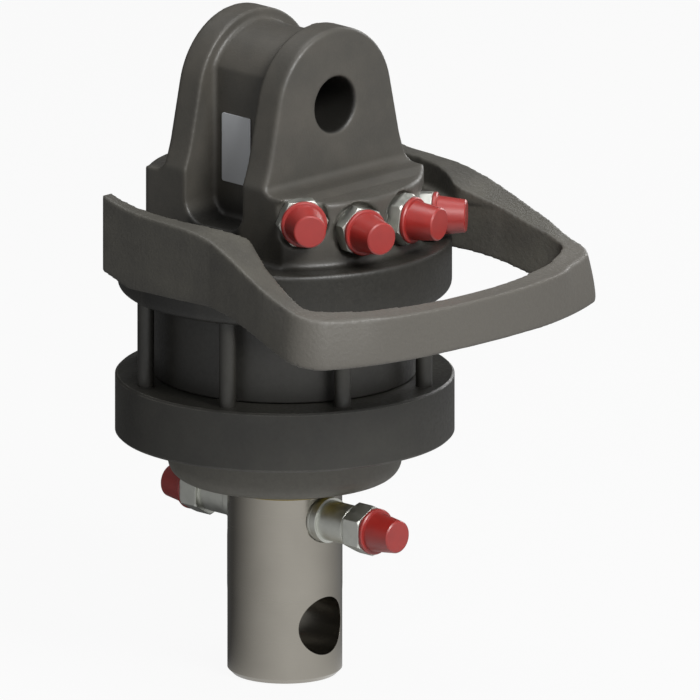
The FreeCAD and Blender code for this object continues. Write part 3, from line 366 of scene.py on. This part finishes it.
# Seals of the shaft, the oil swivel and the ring's faces: black nitrile rubber, moulded.
# They lie in their grooves, black and faintly dusty.
def moulded_rubber(name, dark, dusty, roughness):
    """Moulded rubber: matt, with a fine film of dust."""
    material, shader = new_material(name)
    place = add_node(material, "TexCoord").outputs["Object"]
    dust = add_node(material, "TexNoise", {"Vector": place, "Scale": grain(4.0), "Detail": 4.0})
    tone = add_node(material, "Mix", {"Factor": dust.outputs["Fac"], "A": linear(dark),
                                      "B": linear(dusty)}, data_type="RGBA")
    bump = add_node(material, "Bump", {"Height": dust.outputs["Fac"], "Distance": 0.02 * MM})
    wire(material, shader, {"Base Color": tone.outputs["Result"], "Roughness": roughness,
                            "Normal": bump.outputs["Normal"]})
    return material


nitrile_rubber = moulded_rubber("nitrile_rubber", "#161616", "#232220", roughness=0.62)
dress(nitrile_rubber, "shaft_seal", "swivel_rings", "face_seal_lower", "face_seal_upper")


# Wiper ring under the boss: amber polyurethane, moulded, and pressed into the boss.
# Its lip hangs below and shows as a thin warm line round the shaft.
# The section is given as radius and height of each corner.
WIPER_SECTION_MM = ((34.6, 126.5), (34.6, 114.3), (35.0, 114.0), (35.6, 114.3), (36.6, 121.5),
                    (41.0, 121.5), (41.0, 126.5))


def wiper_ring(material, section_mm, steps):
    """The wiper as one turned section: a square ring with a thin lip that hugs the shaft."""
    corners, faces = [], []
    count = len(section_mm)
    for step in range(steps):
        turn = 2 * math.pi * step / steps
        corners += [(radius * MM * math.cos(turn), radius * MM * math.sin(turn), height * MM)
                    for radius, height in section_mm]
        here, there = step * count, (step + 1) % steps * count
        faces += [(here + i, there + i, there + (i + 1) % count, here + (i + 1) % count)
                  for i in range(count)]
    mesh = bpy.data.meshes.new("wiper_with_lip")
    mesh.from_pydata(corners, [], faces)
    mesh.materials.append(material)
    piece = bpy.data.objects.new("wiper_with_lip", mesh)
    bpy.context.scene.collection.objects.link(piece)
    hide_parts("wiper_ring")
    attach(piece, "housing")


amber_polyurethane = moulded_rubber("amber_polyurethane", "#948038", "#a8943f", roughness=0.45)
wiper_ring(amber_polyurethane, WIPER_SECTION_MM, steps=144)


# Hose adapters and their sealing washers: zinc plated free-cutting steel, screwed in.
# The plating is bright and slightly cloudy, and catches the light along its eased edges.
def zinc_plating(name, bright, cloudy):
    """Bright zinc over steel, with a spangle that changes its tone and its dullness."""
    material, shader = new_material(name)
    place = add_node(material, "TexCoord").outputs["Object"]
    spangle = add_node(material, "TexNoise", {"Vector": place, "Scale": grain(5.0), "Detail": 5.0,
                                              "Roughness": 0.6})
    tone = add_node(material, "Mix", {"Factor": spangle.outputs["Fac"], "A": linear(cloudy),
                                      "B": linear(bright)}, data_type="RGBA")
    dull = add_node(material, "MapRange", {"Value": spangle.outputs["Fac"], "From Min": 0.3,
                                           "From Max": 0.7, "To Min": 0.36, "To Max": 0.50})
    eased = add_node(material, "Bevel", {"Radius": 0.9 * MM}, samples=4)
    bump = add_node(material, "Bump", {"Height": spangle.outputs["Fac"], "Distance": 0.02 * MM,
                                       "Normal": eased.outputs["Normal"]})
    wire(material, shader, {"Metallic": 1.0, "Base Color": tone.outputs["Result"],
                            "Roughness": dull.outputs["Result"], "Normal": bump.outputs["Normal"]})
    return material


zinc_plated_steel = zinc_plating("zinc_plated_steel", "#d6d7d1", "#babcb5")
dress(zinc_plated_steel, "port_washers", "shaft_port_washers", "shaft_adapter_front",
      "shaft_adapter_rear", *["port_adapter_%d" % number for number in range(1, 5)])


# Transport caps: soft red polythene, injection moulded, pushed over the adapters.
# The plastic is slightly see-through at its edges and has a fine satin mould skin.
def moulded_polythene(name, deep, pale):
    """Moulded soft plastic: cloudy from its flow, with a satin skin and a little depth.

    Red light goes about 2 mm into it, green and blue less than 1 mm.
    """
    material, shader = new_material(name)
    place = add_node(material, "TexCoord").outputs["Object"]
    flow = add_node(material, "TexNoise", {"Vector": place, "Scale": grain(9.0), "Detail": 3.0})
    tone = add_node(material, "Mix", {"Factor": flow.outputs["Fac"], "A": linear(deep),
                                      "B": linear(pale)}, data_type="RGBA")
    skin = add_node(material, "TexNoise", {"Vector": place, "Scale": grain(0.7), "Detail": 2.0})
    eased = add_node(material, "Bevel", {"Radius": 0.7 * MM}, samples=4)
    bump = add_node(material, "Bump", {"Height": skin.outputs["Fac"], "Distance": 0.015 * MM,
                                       "Normal": eased.outputs["Normal"]})
    wire(material, shader, {"Roughness": 0.45, "Coat Weight": 0.6, "Coat Roughness": 0.34,
                            "Subsurface Weight": 0.12, "Subsurface Radius": (0.004, 0.001, 0.001),
                            "Subsurface Scale": 0.6, "Base Color": tone.outputs["Result"],
                            "Normal": bump.outputs["Normal"]})
    return material


red_polythene = moulded_polythene("red_polythene", "#8a1914", "#a0251e")
dress(red_polythene, "shaft_cap_front", "shaft_cap_rear",
      *["port_cap_%d" % number for number in range(1, 5)])


# Type plate: a thin sheet of anodised aluminium on the web between the ears, with no print.
# The anodised skin hides most of the metal, so it looks pale, even and satin.
anodised_plate = turned_steel("anodised_aluminium", "#d6d9dd", "#c8cbcf", ring_mm=0.8,
                              roughness=0.42, metal=0.1)
dress(anodised_plate, "type_plate")


# Floor: a wide pale sheet of paper, which keeps the object's shadow.
# To the camera it fades into the white background, and gloss sees it darker on the left.
def pale_floor(size_m, drop_mm):
    """A plane just under the shaft's foot, mostly white of itself and partly lit."""
    bpy.ops.mesh.primitive_plane_add(size=size_m, location=(0, 0, -drop_mm * MM))
    floor = bpy.context.object
    floor.name = "studio_floor"
    own_white, bright_side = 0.93, (-0.38, -0.92, 0.0)
    material, shader = new_material("pale_studio_floor")
    wire(material, shader, {"Base Color": linear("#a8a8a8"), "Roughness": 0.9})
    ray = add_node(material, "LightPath")
    place = add_node(material, "TexCoord").outputs["Object"]
    outwards = add_node(material, "VectorMath", {0: place}, operation="NORMALIZE")
    side = add_node(material, "VectorMath", {0: outwards.outputs["Vector"], 1: bright_side},
                    operation="DOT_PRODUCT")
    mirrored = add_node(material, "MapRange", {"Value": side.outputs["Value"], "From Min": -0.80,
                                               "From Max": 0.95, "To Min": 0.08, "To Max": 1.1})
    strength = add_node(material, "Mix", {"Factor": ray.outputs["Is Glossy Ray"], "A": 1.0,
                                          "B": mirrored.outputs["Result"]}, data_type="FLOAT")
    glow = add_node(material, "Emission", {"Color": linear("#ffffff"),
                                           "Strength": strength.outputs["Result"]})
    either = add_node(material, "Math", {0: ray.outputs["Is Camera Ray"],
                                         1: ray.outputs["Is Glossy Ray"]}, operation="MAXIMUM")
    white = add_node(material, "Math", {0: either.outputs["Value"], 1: own_white},
                     operation="MULTIPLY")
    blend = add_node(material, "MixShader", {"Fac": white.outputs["Value"], 1: shader.outputs["BSDF"],
                                             2: glow.outputs["Emission"]})
    wire(material, material.node_tree.nodes["Material Output"], {"Surface": blend.outputs["Shader"]})
    floor.data.materials.append(material)


pale_floor(size_m=8.0, drop_mm=0.5)


# Studio: a white surround, darker on the left for the object's light, and three soft boxes.
# The camera sees plain white; metal sees a room that brightens towards the right.
# Right, back (towards the camera) and up are the photograph's own directions.
VIEW_AZIMUTH = math.radians(-45.09)
VIEW_ELEVATION = math.radians(14.75)
OBJECT_MIDDLE = Vector((0, -0.03, 0.22))
right = Vector((math.cos(VIEW_AZIMUTH), math.sin(VIEW_AZIMUTH), 0))
back = Vector((math.sin(VIEW_AZIMUTH) * math.cos(VIEW_ELEVATION),
               -math.cos(VIEW_AZIMUTH) * math.cos(VIEW_ELEVATION), math.sin(VIEW_ELEVATION)))
up = back.cross(right)


def white_studio():
    """The world: one level for the camera, one for gloss and one for the object's light."""
    world = bpy.data.worlds.new("white_studio")
    world.use_nodes = True
    ray = add_node(world, "LightPath")
    way = add_node(world, "TexCoord").outputs["Generated"]
    sky = add_node(world, "VectorMath", {0: way, 1: 0.22 * right + 0.30 * back + 0.93 * up},
                   operation="DOT_PRODUCT")
    object_light = add_node(world, "MapRange", {"Value": sky.outputs["Value"], "From Min": -0.6,
                                                "From Max": 1.0, "To Min": 0.03, "To Max": 0.40})
    room = add_node(world, "VectorMath", {0: way, 1: 0.36 * right + 0.93 * back},
                    operation="DOT_PRODUCT")
    gloss = add_node(world, "MapRange", {"Value": room.outputs["Value"], "From Min": -0.7,
                                         "From Max": 0.9, "To Min": 0.05, "To Max": 1.0})
    bounced = add_node(world, "Mix", {"Factor": ray.outputs["Is Glossy Ray"],
                                      "A": object_light.outputs["Result"],
                                      "B": gloss.outputs["Result"]}, data_type="FLOAT")
    straight = add_node(world, "Math", {0: ray.outputs["Is Camera Ray"],
                                        1: ray.outputs["Is Transmission Ray"]}, operation="MAXIMUM")
    level = add_node(world, "Mix", {"Factor": straight.outputs["Value"],
                                    "A": bounced.outputs["Result"], "B": 1.0}, data_type="FLOAT")
    wire(world, world.node_tree.nodes["Background"], {"Color": linear("#ffffff"),
                                                      "Strength": level.outputs["Result"]})
    return world


def soft_box(name, right_m, back_m, up_m, size_m, watts):
    """A round soft lamp, placed from the object's middle and aimed at it."""
    lamp = bpy.data.lights.new(name, "AREA")
    lamp.shape = "DISK"
    lamp.size = size_m
    lamp.energy = watts
    holder = bpy.data.objects.new(name, lamp)
    bpy.context.scene.collection.objects.link(holder)
    holder.location = OBJECT_MIDDLE + right_m * right + back_m * back + up_m * up
    holder.rotation_euler = (OBJECT_MIDDLE - holder.location).to_track_quat("-Z", "Y").to_euler()


bpy.context.scene.world = white_studio()
soft_box("key_soft_box", 0.74, 1.42, 0.82, size_m=0.7, watts=32.0)
soft_box("top_soft_box", -0.2, 0.1, 1.6, size_m=1.0, watts=8.0)
soft_box("rim_soft_box", 0.9, -1.3, 0.9, size_m=0.8, watts=8.0)


# Camera: the photograph's view, taken from far away with a long lens, so without perspective.
# A point on the shaft's axis and its pixel in the photograph set the frame.
PHOTO_PX = 700
PHOTO_PX_PER_MM = 1.67377
AXIS_POINT = Vector((0, 0, 0.210))
AXIS_POINT_PX = (284.8, 330.5)
CAMERA_DISTANCE_M = 2.0
mm_right = (PHOTO_PX / 2 - AXIS_POINT_PX[0]) / PHOTO_PX_PER_MM
mm_up = (AXIS_POINT_PX[1] - PHOTO_PX / 2) / PHOTO_PX_PER_MM
look_at = AXIS_POINT + right * mm_right * MM + up * mm_up * MM
camera_data = bpy.data.cameras.new("photo_camera")
camera_data.type = "ORTHO"
camera_data.ortho_scale = PHOTO_PX / PHOTO_PX_PER_MM * MM
camera_data.clip_end = 10 * CAMERA_DISTANCE_M
camera = bpy.data.objects.new("photo_camera", camera_data)
bpy.context.scene.collection.objects.link(camera)
turned = Matrix((right, up, back)).transposed().to_4x4()
camera.matrix_world = Matrix.Translation(look_at + back * CAMERA_DISTANCE_M) @ turned
bpy.context.scene.camera = camera
bpy.context.scene.view_settings.view_transform = "Standard"
